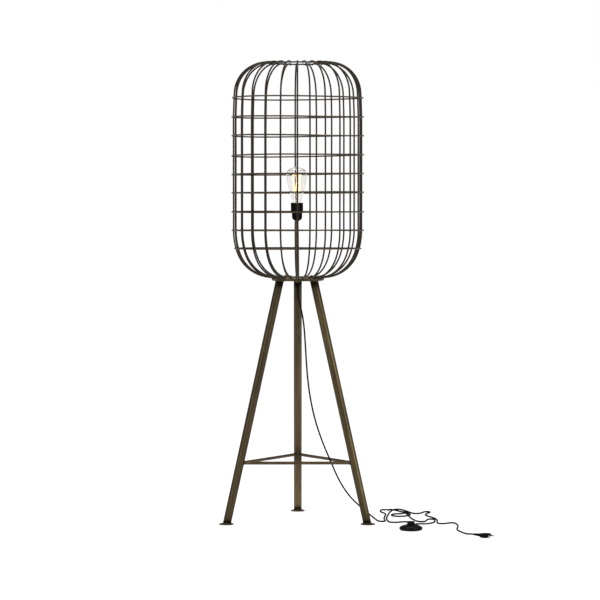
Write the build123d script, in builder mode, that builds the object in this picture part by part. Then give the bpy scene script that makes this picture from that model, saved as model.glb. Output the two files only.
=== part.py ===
"""Floor lamp with a drum-shaped cage of bent wire on three splayed tube legs.

Frame: +Z up, -Y is the front, origin on the floor under the middle of the bounding box.
All sizes are in millimetres. The cage's own axis stands at y = axis_y.
"""
import os
from math import asin, atan2, cos, degrees, pi, radians, sin, tan

from build123d import *

os.makedirs("parts", exist_ok=True)

# ---- driving sizes ---------------------------------------------------------
# round wires are drawn as hexagons or squares of the same area
wire = 4.95  # across the flats of the ribs' and the bottom ring's wire, 5.2 round
hoop_wire = 4.08  # side of the hoops' square wire, 4.6 round
top_ring_wire = 4.38  # across the flats of the top ring's wire, 4.6 round
cage_r = 196.8  # centre of the upright ribs
cage_top = 1404.0  # centre of the ribs' top ends
lean_r = 1940.0  # long, slight bend under the shoulder
lean_angle = 3.2
lean_chords = 2
shoulder_r = 97.0  # bend at the top
shoulder_chords = 4
low_bend_r = 205.8  # first, gentle bend at the bottom
low_bend_angle = 19.0
low_bend_chords = 2
base_bend_r = 113.5  # second, tighter bend down to the bottom ring
base_bend_chords = 3
top_ring_r = 81.0
bottom_ring_r = 78.5
rib_end_in = 4.0  # how far the ribs' ends pass the rings' centres
hoop_heights = (1295.6, 1237.4, 1180.0, 1120.0, 1063.0, 1006.3, 947.2, 890.7, 835.2)

plate_t = 3.0
plate_r = 81.0
leg_top = 736.4
leg_r = 12.5
leg_wall = 1.5
leg_sides = 20
leg_top_at = 61.0  # leg axis from the lamp's axis at leg_top
leg_foot_at = 244.0  # the same at the top of the foot
foot_r = 22.0
foot_t = 3.5
foot_sides = 32
foot_at = 246.0
brace_height = 185.0
brace_r = 4.0

stem_r = 5.0
stem_bore_r = 3.5
stem_bottom = 730.0
nut_flats = 14.0
nut_t = 4.0
grip_length = 20.0
grip_top_r = 5.6
grip_end_r = 3.6

holder_bottom = 922.0
holder_step = 944.0
holder_top = 975.0
holder_r = 18.4
holder_cap_r = 15.5
holder_wall = 2.4
sleeve_r = 14.2
sleeve_bore_r = 13.5
socket_floor = 944.6

bulb_bottom = 945.0
bulb_cap_r = 13.2
bulb_cap_top = 971.0
bulb_r = 32.0
bulb_wall = 0.9
bulb_sides = 20
holder_sides = 20

cord_side = 4.43  # square with the area of a 5 mm cord
cord_z = 2.5  # centre of a cord that lies on the floor
over_z = 8.2  # centre of a cord where it passes over another
entry_z = 7.0  # centre of the switch's cord entries
plug_z = 6.85  # centre of the plug as it lies

switch_x = 337.0
switch_y = -273.0
switch_r = 35.0
button_r = 11.5
button_top = 28.0
entry_gap = 22.0  # between the two cord entries
entry_face = 55.0  # ends of the entries' strain reliefs, behind the switch's centre
relief_length = 20.0  # tapered strain reliefs
entry_r = 5.0
entry_end_r = 3.3

leg_angles = {"rear": 90.0, "left": 210.0, "right": 330.0}

# the lamp's axis, set so that the bounding box is centred on y = 0
hoop_r = cage_r + (wire + hoop_wire) / 2
axis_y = (hoop_r + hoop_wire / 2 - foot_at - foot_r) / 2
axis = (0, axis_y)

# rib azimuths, degrees from +X: the ribs are set by hand, so their pitch varies
rear_right_ribs = [12.9, 27.6, 43.3, 57.5, 72.8]
rear_left_ribs = [92.3, 106.1, 120.4, 134.9, 150.5, 165.6]
front_left_ribs = [180.0, 195.4, 210.2, 225.1, 240.0, 254.8, 269.7]
front_right_ribs = [280.7, 294.9, 310.1, 323.6, 339.0, 351.5]
rib_angles = rear_right_ribs + rear_left_ribs + front_left_ribs + front_right_ribs


# ---- helpers ---------------------------------------------------------------
def around(radius, angle, height):
    """A point at a radius and azimuth from the lamp's axis."""
    turn = radians(angle)
    return Vector(radius * cos(turn), axis_y + radius * sin(turn), height)


def on_axis(height):
    """A horizontal plane centred on the lamp's axis."""
    return Plane((0, axis_y, height))


def bend(start, heading, radius, total, count):
    """The corners of a bend made of equal chords. Headings are degrees from outward, + is up."""
    corners = []
    x, y = start
    step = total / count
    chord = 2 * radius * sin(radians(abs(step) / 2))
    for index in range(count):
        along = radians(heading + step * (index + 0.5))
        x += chord * cos(along)
        y += chord * sin(along)
        corners.append((x, y))
    return corners


def turned(outline, sides, place=(0, None)):
    """A many-sided turned solid from points up its outside. Each radius is measured to a flat."""
    x, y = place[0], axis_y if place[1] is None else place[1]
    reach = 2 * max(radius for radius, height in outline)
    right = list(outline)
    left = [(-radius, height) for radius, height in reversed(outline)]
    with BuildPart() as solid:
        for index in range(sides // 2):
            turn = radians(360 / sides * index)
            outward = (cos(turn), sin(turn), 0)
            sideways = (sin(turn), -cos(turn), 0)
            with BuildSketch(Plane((x, y, 0), x_dir=outward, z_dir=sideways)):
                with BuildLine():
                    Polyline(*right, *left, right[0])
                make_face()
            extrude(amount=reach, both=True, mode=Mode.INTERSECT if index else Mode.ADD)
    return solid.part


def post(flat_r, sides, place, height, length):
    """An upright many-sided post, lined up with the turned solids."""
    with BuildPart() as solid:
        with BuildSketch(Plane((place[0], place[1], height))):
            RegularPolygon(flat_r, sides, major_radius=False, rotation=180 / sides)
        extrude(amount=length)
    return solid.part


def save(piece, name):
    piece.label = name
    export_step(piece, f"parts/{name}.step")


# ---- cage: ribs ------------------------------------------------------------
low_turn = radians(low_bend_angle)
base_turn = 90 - low_bend_angle
bottom_ring_z = leg_top + plate_t + wire / 2
rib_end_z = bottom_ring_z + wire
base_start_r = cage_r - low_bend_r * (1 - cos(low_turn)) - base_bend_r * sin(radians(base_turn))
straight_bottom = rib_end_z + base_bend_r * (1 - cos(radians(base_turn))) + low_bend_r * sin(low_turn)
shoulder_turn = 90 - lean_angle
straight_top = cage_top - shoulder_r * (1 - sin(radians(lean_angle))) - lean_r * sin(radians(lean_angle))

rib_outline = [(bottom_ring_r - rib_end_in, rib_end_z), (base_start_r, rib_end_z)]
rib_outline += bend(rib_outline[-1], 0, base_bend_r, base_turn, base_bend_chords)
low_corners = bend(rib_outline[-1], base_turn, low_bend_r, low_bend_angle, low_bend_chords)
rib_outline += low_corners
rib_outline += [(cage_r, straight_top)]
rib_outline += bend(rib_outline[-1], 90, lean_r, lean_angle, lean_chords)
rib_outline += bend(rib_outline[-1], 90 + lean_angle, shoulder_r, shoulder_turn, shoulder_chords)
rib_outline += [(top_ring_r - rib_end_in, cage_top)]
print(f"straight part of a rib: {straight_bottom:.1f} to {straight_top:.1f}")


def rib(angle):
    turn = radians(angle)
    outward = (cos(turn), sin(turn), 0)
    sideways = (sin(turn), -cos(turn), 0)
    upright = Plane((0, axis_y, 0), x_dir=outward, z_dir=sideways)
    first = around(rib_outline[0][0], angle, rib_outline[0][1])
    with BuildPart() as one:
        with BuildLine(upright):
            Polyline(*rib_outline)
        with BuildSketch(Plane(first, x_dir=sideways, z_dir=outward)):
            RegularPolygon(wire / 2, 6, major_radius=False)
        sweep(transition=Transition.RIGHT)
    return one.part


for number, angle in enumerate(rib_angles, 1):
    save(rib(angle), f"rib_{number:02d}")


# ---- cage: hoops and rings -------------------------------------------------
def many_sided(radius, height, angles):
    """Corners of a closed polygon with a flat at each azimuth and one midway to the next."""
    flats = []
    for here, after in zip(angles, angles[1:] + [angles[0] + 360]):
        flats += [here, (here + after) / 2]
    corners = []
    for here, after in zip(flats, flats[1:] + [flats[0] + 360]):
        corners.append(around(radius / cos(radians((after - here) / 2)), (here + after) / 2, height))
    return corners


def wire_ring(radius, height, flats, sides, lean, angles):
    """A closed ring of square or hexagonal wire. lean is the tilt of its section, degrees from upright."""
    start = around(radius, angles[0], height)
    turn = radians(angles[0])
    tilt = radians(lean)
    corner_way = (sin(tilt) * cos(turn), sin(tilt) * sin(turn), cos(tilt))
    with BuildPart() as ring:
        with BuildLine():
            Polyline(start, *many_sided(radius, height, angles), start)
        with BuildSketch(Plane(start, x_dir=corner_way, z_dir=(-sin(turn), cos(turn), 0))):
            RegularPolygon(flats / 2, sides, major_radius=False, rotation=45 if sides == 4 else 0)
        sweep(transition=Transition.RIGHT)
    return ring.part


def hoop_place(height):
    """Radius and lean of a hoop that lies against the outside of the ribs at a height."""
    apart = (wire + hoop_wire) / 2
    for (x0, y0), (x1, y1) in zip(rib_outline[1:], rib_outline[2:]):
        lean = asin((x1 - x0) / ((x1 - x0) ** 2 + (y1 - y0) ** 2) ** 0.5)
        rib_height = height + apart * sin(lean)
        if y0 <= rib_height < y1:
            break
    rib_radius = x0 + (x1 - x0) * (rib_height - y0) / (y1 - y0)
    return rib_radius + apart * cos(lean), degrees(lean)


for number, height in enumerate(hoop_heights, 1):
    radius, lean = hoop_place(height)
    save(wire_ring(radius, height, hoop_wire, 4, lean, rib_angles), f"hoop_{number}")

ring_angles = [30.0 * i for i in range(12)]
top_ring_z = cage_top - (wire + top_ring_wire) / 2
save(wire_ring(top_ring_r, top_ring_z, top_ring_wire, 6, 90, ring_angles), "top_ring")
save(wire_ring(bottom_ring_r, bottom_ring_z, wire, 6, 90, ring_angles), "bottom_ring")

# ---- base: plate, legs, feet, braces ---------------------------------------
with BuildPart() as mounting_plate:
    with BuildSketch(on_axis(leg_top)):
        RegularPolygon(plate_r, 48, major_radius=False)
        Circle(stem_r + 0.1, mode=Mode.SUBTRACT)
    extrude(amount=plate_t)
save(mounting_plate.part, "mounting_plate")


def leg_line(angle):
    """The leg's centre points at its foot and at its top."""
    return around(leg_foot_at, angle, foot_t), around(leg_top_at, angle, leg_top)


def leg_plane(angle, overrun):
    """A plane square to a leg, a little below its foot."""
    foot, top = leg_line(angle)
    way = (top - foot).normalized()
    return Plane(foot - way * overrun, z_dir=way)


leg_length = (leg_line(90)[1] - leg_line(90)[0]).length

for side, angle in leg_angles.items():
    with BuildPart() as leg:
        with BuildSketch(leg_plane(angle, 20)):
            RegularPolygon(leg_r, leg_sides, major_radius=False)
            RegularPolygon(leg_r - leg_wall, leg_sides, major_radius=False, mode=Mode.SUBTRACT)
        extrude(amount=leg_length + 40)
        split(bisect_by=Plane.XY.offset(foot_t), keep=Keep.TOP)
        split(bisect_by=Plane.XY.offset(leg_top), keep=Keep.BOTTOM)
    save(leg.part, f"leg_{side}")

with BuildPart() as feet:
    for angle in leg_angles.values():
        with BuildSketch(Plane(around(foot_at, angle, 0))):
            RegularPolygon(foot_r, foot_sides)
        extrude(amount=foot_t)
save(feet.part, "feet")

share = (brace_height - foot_t) / (leg_top - foot_t)
brace_at = leg_foot_at + (leg_top_at - leg_foot_at) * share


def brace(angle_a, angle_b):
    """A rod between two legs, its ends coped to their tubes."""
    start = around(brace_at, angle_a, brace_height)
    end = around(brace_at, angle_b, brace_height)
    with BuildPart() as rod:
        with BuildSketch(Plane(start, z_dir=end - start)):
            Circle(brace_r)
        extrude(amount=(end - start).length)
        for angle in (angle_a, angle_b):
            with BuildSketch(leg_plane(angle, 0)):
                RegularPolygon(leg_r, leg_sides, major_radius=False)
            extrude(amount=leg_length / 2, mode=Mode.SUBTRACT)
    return rod.part


save(brace(leg_angles["left"], leg_angles["right"]), "brace_front")
save(brace(leg_angles["rear"], leg_angles["left"]), "brace_left")
save(brace(leg_angles["right"], leg_angles["rear"]), "brace_right")

# ---- stem and its nuts -----------------------------------------------------
stem_top = holder_bottom + 9.0
with BuildPart() as stem_tube:
    with BuildSketch(on_axis(stem_bottom)):
        Circle(stem_r)
        Circle(stem_bore_r, mode=Mode.SUBTRACT)
    extrude(amount=stem_top - stem_bottom)
save(stem_tube.part, "stem_tube")

with BuildPart() as stem_nuts:
    for height in (leg_top - nut_t, leg_top + plate_t, holder_bottom - nut_t):
        with BuildSketch(on_axis(height)):
            RegularPolygon(nut_flats / 2, 6, major_radius=False)
            Circle(stem_r, mode=Mode.SUBTRACT)
        extrude(amount=nut_t)
save(stem_nuts.part, "stem_nuts")

grip_bottom = stem_bottom - grip_length
save(turned([(grip_end_r, grip_bottom), (grip_top_r, stem_bottom)], 12), "cord_grip")

# ---- lamp holder -----------------------------------------------------------
cap_hollow_r = holder_cap_r - holder_wall
shell_hollow_r = sleeve_r + 1

outside = turned([(holder_cap_r - 5, holder_bottom), (holder_cap_r - 1.4, holder_bottom + 2),
                  (holder_cap_r, holder_bottom + 6), (holder_cap_r, holder_step)], holder_sides)
hollow = turned([(cap_hollow_r - 4, holder_bottom + holder_wall), (cap_hollow_r, holder_bottom + 7),
                 (cap_hollow_r, holder_step)], holder_sides)
with BuildPart() as holder_cap:
    add(outside)
    add(hollow, mode=Mode.SUBTRACT)
    with BuildSketch(on_axis(holder_bottom)):
        Circle(stem_r)
    extrude(amount=holder_wall, mode=Mode.SUBTRACT)
save(holder_cap.part, "holder_cap")

outside = turned([(holder_r - 1, holder_step), (holder_r, holder_step + 1), (holder_r, holder_top - 1.5),
                  (holder_r - 1.2, holder_top)], holder_sides)
with BuildPart() as holder_shell:
    add(outside)
    add(post(cap_hollow_r, holder_sides, axis, holder_step, holder_top), mode=Mode.SUBTRACT)
    add(post(shell_hollow_r, holder_sides, axis, holder_step + 2, holder_top), mode=Mode.SUBTRACT)
save(holder_shell.part, "holder_shell")

core_bottom = holder_step - 8
core_r = cap_hollow_r - 0.5
contact_well_r = 7.0
insert_ledge = holder_step + 2.3
with BuildPart() as holder_insert:
    add(post(core_r, holder_sides, axis, core_bottom, insert_ledge - core_bottom))
    add(post(sleeve_r, holder_sides, axis, insert_ledge, holder_top - 6 - insert_ledge))
    add(post(sleeve_bore_r, holder_sides, axis, socket_floor + 2, holder_top), mode=Mode.SUBTRACT)
    add(post(contact_well_r, holder_sides, axis, socket_floor, holder_top), mode=Mode.SUBTRACT)
save(holder_insert.part, "holder_insert")

# ---- bulb ------------------------------------------------------------------
outside = turned([(3, bulb_bottom), (5.5, bulb_bottom + 2.6), (11, bulb_bottom + 6),
                  (bulb_cap_r, bulb_bottom + 8), (bulb_cap_r, bulb_cap_top)], holder_sides)
with BuildPart() as bulb_cap:
    add(outside)
    add(post(bulb_cap_r - 0.6, holder_sides, axis, bulb_bottom + 9, bulb_cap_top), mode=Mode.SUBTRACT)
save(bulb_cap.part, "bulb_cap")

# radius and height of the glass, tip last
glass_outline = [
    (12.4, 958.0), (12.6, 974.0), (16.2, 989.0), (27.3, 1030.0), (30.9, 1047.0),
    (bulb_r, 1059.0), (29.2, 1070.0), (21.0, 1079.0), (9.0, 1083.4), (0.8, 1085.6),
]
hollow_outline = [
    (11.5, 957.0), (11.7, 974.0), (15.3, 989.0), (26.4, 1030.0), (30.0, 1047.0),
    (bulb_r - bulb_wall, 1059.0), (28.2, 1069.4), (20.0, 1078.0),
]
with BuildPart() as bulb_glass:
    add(turned(glass_outline, bulb_sides))
    add(turned(hollow_outline, bulb_sides), mode=Mode.SUBTRACT)
save(bulb_glass.part, "bulb_glass")

mount_bottom = bulb_bottom + 9.3
save(turned([(9, mount_bottom), (9, mount_bottom + 4), (3.2, mount_bottom + 16), (3.2, 1004), (1.2, 1008),
             (1.2, 1062)], 8), "bulb_mount")

filament_r = 0.55
filament_bottom_r = 8.5
filament_top_r = 9.5
with BuildPart() as filament:
    for step in range(6):
        low = around(filament_bottom_r, 60 * step + 10, 1009)
        high = around(filament_top_r, 60 * step + 40, 1060)
        with BuildSketch(Plane(low, z_dir=high - low)):
            RegularPolygon(filament_r, 4)
        extrude(amount=(high - low).length)
    for height, spoke in ((1008.4, filament_bottom_r), (1060.6, filament_top_r)):
        with BuildSketch(on_axis(height - 0.6)):
            RegularPolygon(spoke + 0.8, 6)
            RegularPolygon(spoke - 0.8, 6, mode=Mode.SUBTRACT)
            Rectangle(2 * spoke, 1.2)
            Circle(1.35, mode=Mode.SUBTRACT)
        extrude(amount=1.2)
save(filament.part, "filament")

# ---- foot switch -----------------------------------------------------------
switch_centre = (switch_x, axis_y + switch_y)
entry_y = axis_y + switch_y + entry_face
base_top = 3.0
base_r = 24.8
switch_sides = 28
button_sides = 20
well_r = button_r + 0.3
well_floor = 12.0
cover_outline = [
    (base_r + 1.2, 0), (switch_r - 2.4, 2.4), (switch_r, 6.4), (switch_r - 0.4, 9.4),
    (switch_r - 5.5, 13.2), (button_r + 6, 16.4), (button_r + 2, 18.6),
]

with BuildPart() as switch_base:
    add(post(base_r, switch_sides, switch_centre, 0, base_top))
save(switch_base.part, "switch_base")

with BuildPart() as switch_cover:
    add(turned(cover_outline, switch_sides, switch_centre))
    for side in (-1, 1):
        entry_start = (switch_x + side * entry_gap / 2, entry_y - relief_length, entry_z)
        with BuildSketch(Plane(entry_start, z_dir=(0, 1, 0))):
            RegularPolygon(entry_r, 12)
        extrude(amount=relief_length, taper=degrees(atan2(entry_r - entry_end_r, relief_length)))
        with BuildSketch(Plane(entry_start, z_dir=(0, -1, 0))):
            RegularPolygon(entry_r, 12)
        extrude(amount=8)
    add(post(base_r + 0.2, switch_sides, switch_centre, 0, base_top + 0.3), mode=Mode.SUBTRACT)
    add(post(well_r, button_sides, switch_centre, well_floor, 20), mode=Mode.SUBTRACT)
save(switch_cover.part, "switch_cover")

button_base = 15.6
save(turned([(button_r, button_base), (button_r, button_top - 2.6), (button_r - 1, button_top - 0.8),
             (button_r - 3, button_top)], button_sides, switch_centre), "switch_button")

# ---- cords -----------------------------------------------------------------
# Points of each cord's route, from the lamp's axis on the floor: right, away, up.
lamp_route = [
    (0, 0, grip_bottom), (0, 0, 692), (5, 0, 669), (12.5, 0, 640), (19, -1, 600), (23, -3, 545),
    (26, -6, 490), (30.5, -9, 432), (39, -11, 370), (54, -13, 304), (76, -15, 240), (101, -17, 182),
    (125, -15, 126), (155, -10, 78), (189, -2, 44), (215, 3, 22), (231, -4, 9), (240, -20, 4),
    (244, -38, cord_z), (248, -54, cord_z), (257, -62, cord_z), (266, -56, cord_z), (268, -40, cord_z),
    (266, -18, cord_z), (266, 14, cord_z), (268, 56, cord_z), (272, 100, cord_z),
    (275, 136, cord_z), (272, 163, cord_z), (264, 186, cord_z), (260, 212, cord_z), (261, 240, cord_z),
    (266, 257, cord_z), (277, 264, cord_z), (287, 256, cord_z), (289, 239, cord_z),
    (287, 221, over_z), (302, 207, over_z), (323, 208, cord_z), (337, 193, cord_z), (345, 166, cord_z),
    (352, 136, cord_z), (349, 108, cord_z), (337, 86, cord_z), (318, 73, cord_z), (301, 79, cord_z),
    (291, 101, cord_z), (293, 128, cord_z), (306, 146, cord_z), (322, 142, 3), (335, 118, over_z),
    (341, 81, over_z), (347, 42, cord_z), (354, -4, cord_z), (361, -42, cord_z), (367, -60, cord_z),
    (378, -67, cord_z), (389, -60, cord_z), (394, -42, cord_z), (396, -20, cord_z), (400, -4, cord_z),
    (409, 3, cord_z), (418, -5, cord_z), (420, -22, cord_z), (420, -50, cord_z), (415, -84, cord_z),
    (404, -110, cord_z), (388, -124, cord_z), (373, -122, cord_z), (360, -125, cord_z),
    (352, -141, cord_z), (349, -160, 3), (348, -180, 6), (348, -199, entry_z),
    (348, switch_y + entry_face, entry_z),
]
tail_route = [
    (326, switch_y + entry_face, entry_z), (326, -199, entry_z), (326, -180, 6), (330, -160, 3),
    (339, -131, cord_z), (345, -99, cord_z), (343, -80, cord_z), (333, -68, cord_z),
    (319, -71, cord_z), (305, -84, cord_z), (289, -87, cord_z), (277, -72, cord_z), (275, -42, cord_z),
    (273, 0, cord_z), (275, 48, cord_z), (280, 98, cord_z), (284, 148, cord_z), (290, 196, cord_z),
    (297, 237, cord_z), (304, 262, cord_z), (312, 274, cord_z), (324, 272, cord_z), (332, 256, cord_z),
    (341, 230, cord_z), (350, 196, cord_z), (357, 170, cord_z), (365, 153, cord_z), (377, 152, cord_z),
    (386, 166, cord_z), (393, 188, cord_z), (399, 202, cord_z), (407, 208, cord_z), (415, 201, cord_z),
    (416, 187, cord_z), (409, 166, cord_z), (400, 140, cord_z), (397, 110, cord_z), (403, 82, cord_z),
    (414, 54, cord_z), (423, 22, cord_z), (427, -12, cord_z), (427, -48, cord_z), (424, -82, cord_z),
    (425, -106, cord_z), (433, -119, cord_z), (445, -118, cord_z), (455, -106, cord_z),
    (465, -96, cord_z), (474, -97, cord_z), (480, -111, cord_z), (482, -138, cord_z),
    (483, -174, cord_z), (480, -212, cord_z), (475, -250, cord_z), (475, -286, cord_z),
    (482, -322, cord_z), (491, -360, cord_z), (497, -391, 4.2), (503, -412, plug_z), (515, -423, plug_z),
]


def corner_radii(points):
    """The radius at each corner: 0.45 of the shorter run over the tangent of half the turn."""
    radii = []
    for before, here, after in zip(points, points[1:], points[2:]):
        run_in = here - before
        run_out = after - here
        half_turn = radians(run_in.get_angle(run_out)) / 2
        radii.append(0.45 * min(run_in.length, run_out.length) / tan(half_turn))
    return radii


def cord(route, name):
    points = [Vector(x, axis_y + y, z) for x, y, z in route]
    radii = corner_radii(points)
    with BuildPart() as tube:
        with BuildLine() as path:
            FilletPolyline(*points, radius=radii)
        with BuildSketch(Plane(points[0], x_dir=(1, 0, 0), z_dir=points[1] - points[0])):
            Rectangle(cord_side, cord_side)
        sweep()
    length = sum(edge.length for edge in path.line.edges())
    ratio = tube.part.volume / (cord_side**2 * length)
    print(name, "radii", " ".join(f"{radius:.0f}" for radius in radii))
    print(f"{name} length {length:.0f}, volume over section times length {ratio:.4f}")
    save(tube.part, name)


cord(lamp_route, "lamp_cord")
cord(tail_route, "plug_cord")

# ---- plug ------------------------------------------------------------------
plug_start = Vector(515, axis_y - 423, plug_z)
plug_way = Vector(12, -11, 0).normalized()
plug_across = Vector(11, 12, 0).normalized()
pin_r = 2.0
pin_gap = 18.6
pin_length = 19.0
body_width = 35.3
body_thick = 13.7
body_cut = 4.2
neck_width = 9.4
neck_thick = 7.4
body_start = 34.0  # from the cord's end to the square part of the body
plug_face = 52.0


def plug_plane(distance):
    return Plane(plug_start + plug_way * distance, x_dir=plug_across, z_dir=plug_way)


with BuildPart() as plug_body:
    with BuildSketch(plug_plane(relief_length)):
        Rectangle(neck_width, neck_thick)
    extrude(amount=-relief_length, taper=3.5)
    with BuildSketch(plug_plane(body_start)):
        Rectangle(body_width, body_thick)
    extrude(amount=plug_face - body_start)
    corners = plug_body.edges().filter_by(Axis(plug_start, plug_way)).group_by(SortBy.LENGTH)[-1]
    chamfer(corners, body_cut)
    with BuildSketch(plug_plane(body_start)):
        Rectangle(body_width - 2 * body_cut, body_thick)
    with BuildSketch(plug_plane(relief_length)):
        Rectangle(neck_width, neck_thick)
    loft(ruled=True)
save(plug_body.part, "plug_body")

with BuildPart() as plug_pins:
    for side in (-1, 1):
        start = plug_start + plug_way * plug_face + plug_across * (side * pin_gap / 2)
        with BuildSketch(Plane(start, z_dir=plug_way)):
            Circle(pin_r)
        extrude(amount=pin_length)
save(plug_pins.part, "plug_pins")
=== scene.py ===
from math import asin, cos, pi, radians, sin

import bmesh
import bpy
from mathutils import Matrix, Vector, noise


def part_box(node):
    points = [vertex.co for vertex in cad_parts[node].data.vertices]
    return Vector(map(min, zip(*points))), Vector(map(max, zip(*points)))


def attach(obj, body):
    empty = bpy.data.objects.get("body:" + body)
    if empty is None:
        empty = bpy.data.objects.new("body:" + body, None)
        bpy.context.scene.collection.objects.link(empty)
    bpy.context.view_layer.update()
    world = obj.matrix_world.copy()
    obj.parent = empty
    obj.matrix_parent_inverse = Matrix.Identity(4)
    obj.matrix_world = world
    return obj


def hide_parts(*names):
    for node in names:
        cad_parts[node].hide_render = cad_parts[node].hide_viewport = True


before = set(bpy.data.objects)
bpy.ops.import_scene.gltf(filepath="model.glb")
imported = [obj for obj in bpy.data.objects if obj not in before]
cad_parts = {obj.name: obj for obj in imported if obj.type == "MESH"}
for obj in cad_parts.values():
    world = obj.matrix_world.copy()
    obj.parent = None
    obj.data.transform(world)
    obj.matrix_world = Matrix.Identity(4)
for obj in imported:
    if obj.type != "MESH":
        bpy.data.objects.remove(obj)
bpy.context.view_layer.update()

stemLow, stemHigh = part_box("stem_tube")
axisX = (stemLow[0] + stemHigh[0]) / 2
axisY = (stemLow[1] + stemHigh[1]) / 2  # the cage's own axis
mm = 0.001
upward = Vector((0, 0, 1))


# places and new objects

def onAxis(right, away, up):
    # a place measured in millimetres from the lamp's axis on the floor
    return Vector((axisX + right * mm, axisY + away * mm, up * mm))


def aroundAxis(reach, turn, up):
    return onAxis(reach * cos(turn), reach * sin(turn), up)


def fullTurn(count):
    return [2 * pi * k / count for k in range(count)]


def waver(amount, *place):
    # how far handwork is out at a place; the factors in it set how quickly that changes
    return amount * noise.noise(Vector(place))


def placed(name, data):
    thing = bpy.data.objects.new(name, data)
    bpy.context.scene.collection.objects.link(thing)
    return thing


def aimAt(thing, target):
    thing.rotation_euler = (Vector(target) - thing.location).to_track_quat("-Z", "Y").to_euler()


# camera: a long lens a little below the middle of the cage, tipped slightly down
view = {"distance": 8.582, "height": 0.993, "aimRight": 0.0068, "aimHeight": 0.677, "lens": 168.0,
        "sensor": 36, "clipEnd": 900}
camera = placed("camera", bpy.data.cameras.new("camera"))
bpy.context.scene.camera = camera
camera.location = (0, axisY - view["distance"], view["height"])
aimAt(camera, (view["aimRight"], axisY, view["aimHeight"]))
camera.data.lens = view["lens"]
camera.data.sensor_width = view["sensor"]
camera.data.clip_end = view["clipEnd"]
print("camera set")


# ways of making meshes

def meshOf(name, parts):
    # several (verts, faces) lists as one mesh
    verts, faces = [], []
    for partVerts, partFaces in parts:
        start = len(verts)
        verts += partVerts
        faces += [tuple(start + index for index in face) for face in partFaces]
    mesh = bpy.data.meshes.new(name)
    mesh.from_pydata([tuple(v) for v in verts], [], faces)
    mesh.update()
    return mesh


def shadeSmooth(mesh):
    for polygon in mesh.polygons:
        polygon.use_smooth = True


def newPiece(name, parts, material, body="lamp", nodes=(), smooth=True):
    mesh = meshOf(name, parts)
    piece = placed(name, mesh)
    if smooth:
        shadeSmooth(mesh)
    mesh.materials.append(material)
    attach(piece, body)
    if nodes:
        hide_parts(*nodes)
    return piece


def skin(rings, sides, ends):
    # faces between rings of points, and over the first and last ring
    faces = []
    for ring in range(rings - 1):
        a, b = ring * sides, (ring + 1) * sides
        faces += [(a + k, a + (k + 1) % sides, b + (k + 1) % sides, b + k) for k in range(sides)]
    if ends:
        faces.append(tuple(reversed(range(sides))))
        faces.append(tuple((rings - 1) * sides + k for k in range(sides)))
    return faces


wireEnd = ((0.35, 0.94), (0.75, 0.66), (0.97, 0.25))  # how far out and how wide, in shares of the radius


def rounded(ring, way):
    centre, across, other, size = ring
    return [(centre + way * (size * out), across, other, size * wide) for out, wide in wireEnd]


def pipe(points, radius, sides=10, closed=False, domes=True):
    # a round wire along points, its section carried along without twisting
    points = [Vector(p) for p in points]
    count = len(points)
    radii = radius if isinstance(radius, (list, tuple)) else [radius] * count
    ways = []
    for i in range(count):
        before = points[i - 1] if closed or i > 0 else points[i]
        after = points[(i + 1) % count] if closed or i < count - 1 else points[i]
        ways.append((after - before).normalized())
    side = ways[0].orthogonal().normalized()
    rings = []
    for point, way, size in zip(points, ways, radii):
        side = (side - way * side.dot(way)).normalized()
        rings.append((point, side, way.cross(side), size))
    if domes and not closed:
        rings = rounded(rings[0], -ways[0])[::-1] + rings + rounded(rings[-1], ways[-1])
    verts = []
    for centre, across, other, size in rings:
        for turn in fullTurn(sides):
            verts.append(centre + across * (size * cos(turn)) + other * (size * sin(turn)))
    faces = skin(len(rings), sides, ends=not closed)
    if closed:  # the section may come back turned
        last = (len(rings) - 1) * sides
        shift = min(range(sides), key=lambda s: (verts[last] - verts[s]).length)
        for k in range(sides):
            faces.append((last + k, last + (k + 1) % sides, (k + 1 + shift) % sides, (k + shift) % sides))
    return verts, faces


def spun(outline, sides=48, centre=None, shape=None):
    # turned on the vertical axis from (radius, height) in millimetres; shape may alter the radius by angle
    centre = onAxis(0, 0, 0) if centre is None else centre
    verts = []
    for radius, height in outline:
        for turn in fullTurn(sides):
            reach = shape(radius, height, turn) if shape else radius
            verts.append(centre + Vector((reach * mm * cos(turn), reach * mm * sin(turn), height * mm)))
    return verts, skin(len(outline), sides, ends=outline[0] != outline[-1])


def softCurve(points, steps):
    # a smooth line through (x, y) points
    result = []
    for i in range(len(points) - 1):
        p0 = Vector(points[max(i - 1, 0)])
        p1 = Vector(points[i])
        p2 = Vector(points[i + 1])
        p3 = Vector(points[min(i + 2, len(points) - 1)])
        for s in range(steps):
            t = s / steps
            result.append(tuple(0.5 * ((2 * p1) + (p2 - p0) * t + (2 * p0 - 5 * p1 + 4 * p2 - p3) * t * t
                                       + (3 * p1 - p0 - 3 * p2 + p3) * t ** 3)))
    result.append(tuple(points[-1]))
    return result


beadForm = {"sides": 8, "scale": 260, "rough": 0.28, "wave": 0.12, "pitch": 2.1}
lumpRough = 0.15


def bead(points, size, seed):
    # an uneven weld bead round a closed line
    sizes = []
    for i, point in enumerate(points):
        rough = noise.noise(Vector(point) * beadForm["scale"] + Vector((seed, 0, 0)))
        sizes.append(size * (1 + beadForm["rough"] * rough + beadForm["wave"] * sin(i * beadForm["pitch"])))
    return pipe(points, sizes, beadForm["sides"], closed=True)


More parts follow.
